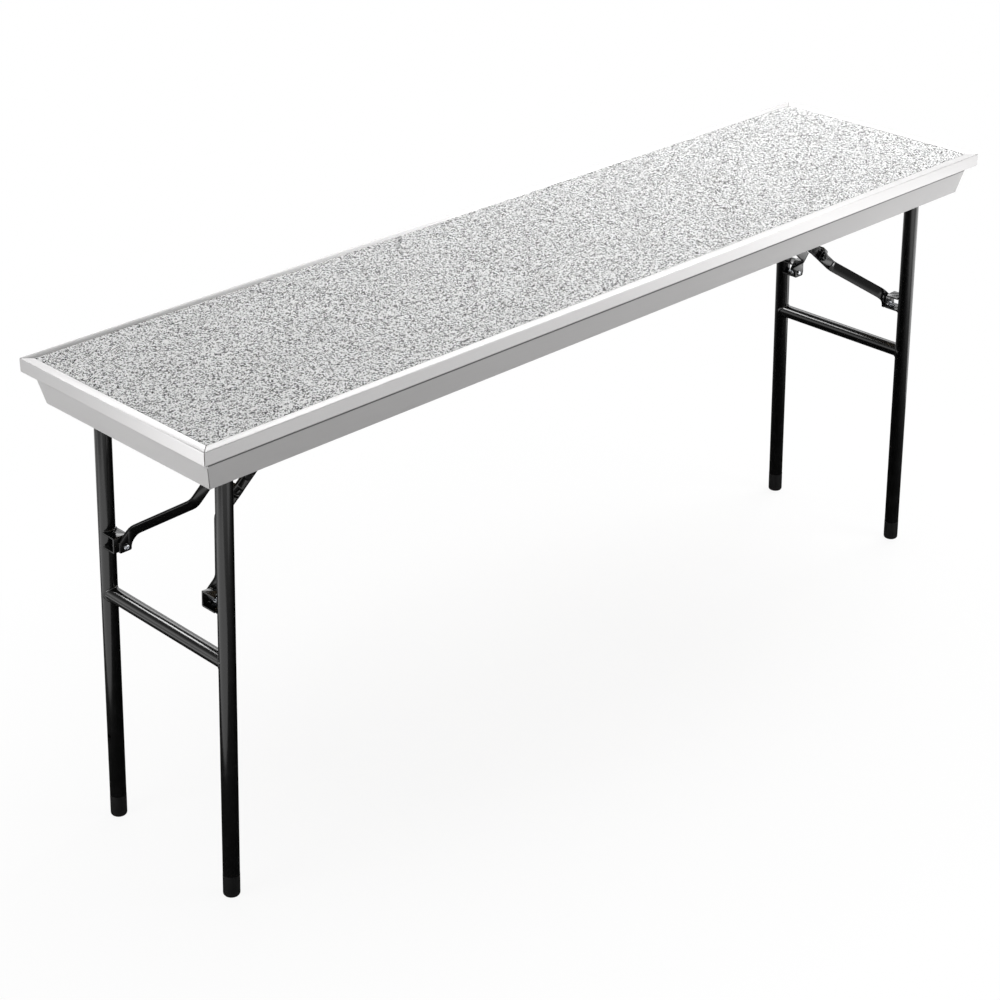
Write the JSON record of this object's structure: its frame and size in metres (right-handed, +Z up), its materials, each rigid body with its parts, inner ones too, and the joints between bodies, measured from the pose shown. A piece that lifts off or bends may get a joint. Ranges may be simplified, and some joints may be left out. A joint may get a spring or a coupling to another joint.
{
  "type": "choir riser",
  "caption": "Folding choir riser: long carpeted deck with pale metal edge trim and a grey skirt, on black tube leg frames that fold under it with hinged braces.",
  "frame": {"origin": "on the floor, under the middle of the deck, with the leg frames opened", "axes": "+X along the deck, +Z up, -Y the long front side that faces the camera"},
  "size_m": [1.816, 0.45, 0.8128],
  "materials": {
    "trim": "satin",
    "skirt": "satin",
    "carpet": "ribbed pile, flecked grey",
    "plywood": "bare",
    "black_paint": "semi-gloss black",
    "zinc": "zinc plated",
    "rubber": "matte"
  },
  "bodies": {
    "deck": {"deck_board": "plywood", "deck_carpet": "carpet", "trim_front": "trim", "skirt_front": "skirt", "trim_right": "trim", "skirt_right": "skirt", "trim_back": "trim", "skirt_back": "skirt", "trim_left": "trim", "skirt_left": "skirt", "leg_hinge_bracket_left_front": "zinc", "leg_hinge_bracket_left_back": "zinc", "leg_hinge_rod_left": "zinc", "link_bracket_left": "zinc", "link_hinge_pin_left": "zinc", "leg_hinge_bracket_right_front": "zinc", "leg_hinge_bracket_right_back": "zinc", "leg_hinge_rod_right": "zinc", "link_bracket_right": "zinc", "link_hinge_pin_right": "zinc"},
    "leg_frame_left": {"leg_left_front": "black_paint", "foot_left_front": "rubber", "brace_channel_left_front": "black_paint", "pivot_nut_left_front": "zinc", "leg_left_back": "black_paint", "foot_left_back": "rubber", "brace_channel_left_back": "black_paint", "pivot_nut_left_back": "zinc", "crossbar_left": "black_paint"},
    "upper_link_left": {"upper_link_left": "black_paint"},
    "brace_left": {"brace_arm_left_front": "black_paint", "tie_bolt_left_front": "black_paint", "pivot_screw_left_front": "zinc", "brace_arm_left_back": "black_paint", "tie_bolt_left_back": "black_paint", "pivot_screw_left_back": "zinc", "brace_strap_left": "black_paint", "knee_pin_left": "black_paint"},
    "leg_frame_right": {"leg_right_front": "black_paint", "foot_right_front": "rubber", "brace_channel_right_front": "black_paint", "pivot_nut_right_front": "zinc", "leg_right_back": "black_paint", "foot_right_back": "rubber", "brace_channel_right_back": "black_paint", "pivot_nut_right_back": "zinc", "crossbar_right": "black_paint"},
    "upper_link_right": {"upper_link_right": "black_paint"},
    "brace_right": {"brace_arm_right_front": "black_paint", "tie_bolt_right_front": "black_paint", "pivot_screw_right_front": "zinc", "brace_arm_right_back": "black_paint", "tie_bolt_right_back": "black_paint", "pivot_screw_right_back": "zinc", "brace_strap_right": "black_paint", "knee_pin_right": "black_paint"}
  },
  "joints": [
    {"name": "leg_fold_left", "type": "hinge", "parent": "deck", "child": "leg_frame_left", "pos_m": [-0.81724, 0, 0.768], "axis": [0, -1, 0], "range_deg": [0, 92.2]},
    {"name": "link_fold_left", "type": "hinge", "parent": "deck", "child": "upper_link_left", "pos_m": [-0.54295, 0, 0.768], "axis": [0, 1, 0], "range_deg": [0, 41.5]},
    {"name": "knee_fold_left", "type": "hinge", "parent": "upper_link_left", "child": "brace_left", "pos_m": [-0.68488, 0, 0.63089], "axis": [0, -1, 0], "range_deg": [0, 183.2]},
    {"name": "leg_fold_right", "type": "hinge", "parent": "deck", "child": "leg_frame_right", "pos_m": [0.81724, 0, 0.768], "axis": [0, 1, 0], "range_deg": [0, 92.2]},
    {"name": "link_fold_right", "type": "hinge", "parent": "deck", "child": "upper_link_right", "pos_m": [0.54295, 0, 0.768], "axis": [0, -1, 0], "range_deg": [0, 41.5]},
    {"name": "knee_fold_right", "type": "hinge", "parent": "upper_link_right", "child": "brace_right", "pos_m": [0.68488, 0, 0.63089], "axis": [0, 1, 0], "range_deg": [0, 183.2]}
  ],
  "couplings": [
    {"joint": "link_fold_left", "follows": "leg_fold_left", "ratio": 0.45004},
    {"joint": "knee_fold_left", "follows": "leg_fold_left", "ratio": 1.9869},
    {"joint": "link_fold_right", "follows": "leg_fold_right", "ratio": 0.45004},
    {"joint": "knee_fold_right", "follows": "leg_fold_right", "ratio": 1.9869}
  ]
}
